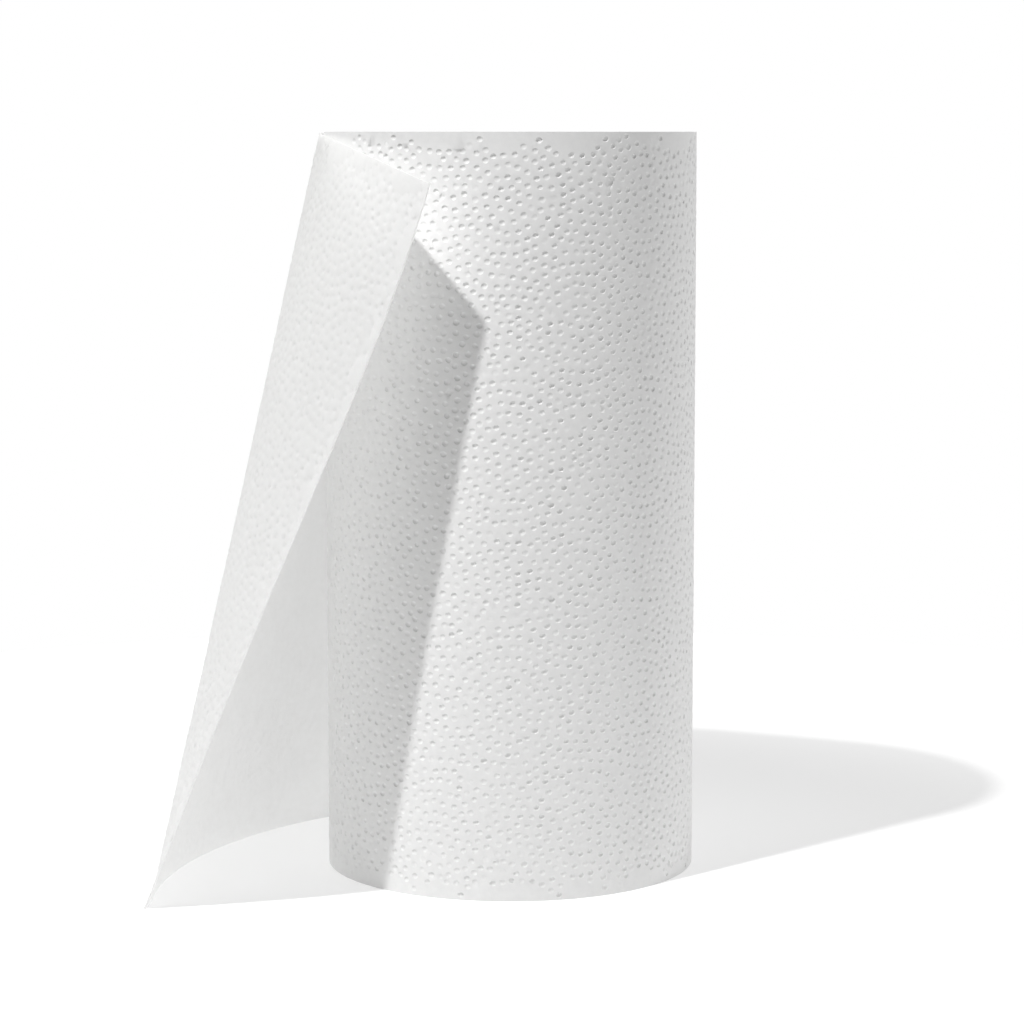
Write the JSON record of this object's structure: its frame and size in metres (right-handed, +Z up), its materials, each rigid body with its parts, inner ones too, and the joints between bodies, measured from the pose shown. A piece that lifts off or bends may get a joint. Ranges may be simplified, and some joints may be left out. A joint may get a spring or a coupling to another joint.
{
  "type": "paper towel roll",
  "caption": "Round roll of white embossed paper towel on a cardboard core, standing on end, with its first sheet peeled off and leaning beside it.",
  "frame": {"origin": "on the roll's axis, in the plane that the roll stands on", "axes": "+Z up along the core's axis; +Y towards the roll's back, away from the free corner of the loose sheet"},
  "size_m": [0.167, 0.145, 0.23],
  "materials": {
    "towel_paper": "soft matte, two plies, embossed with small round dots",
    "core_board": "plain grey-brown board, matte, spiral wound"
  },
  "bodies": {
    "root": {"core_tube": "core_board", "wound_towel": "towel_paper", "loose_sheet": "towel_paper"}
  },
  "joints": []
}
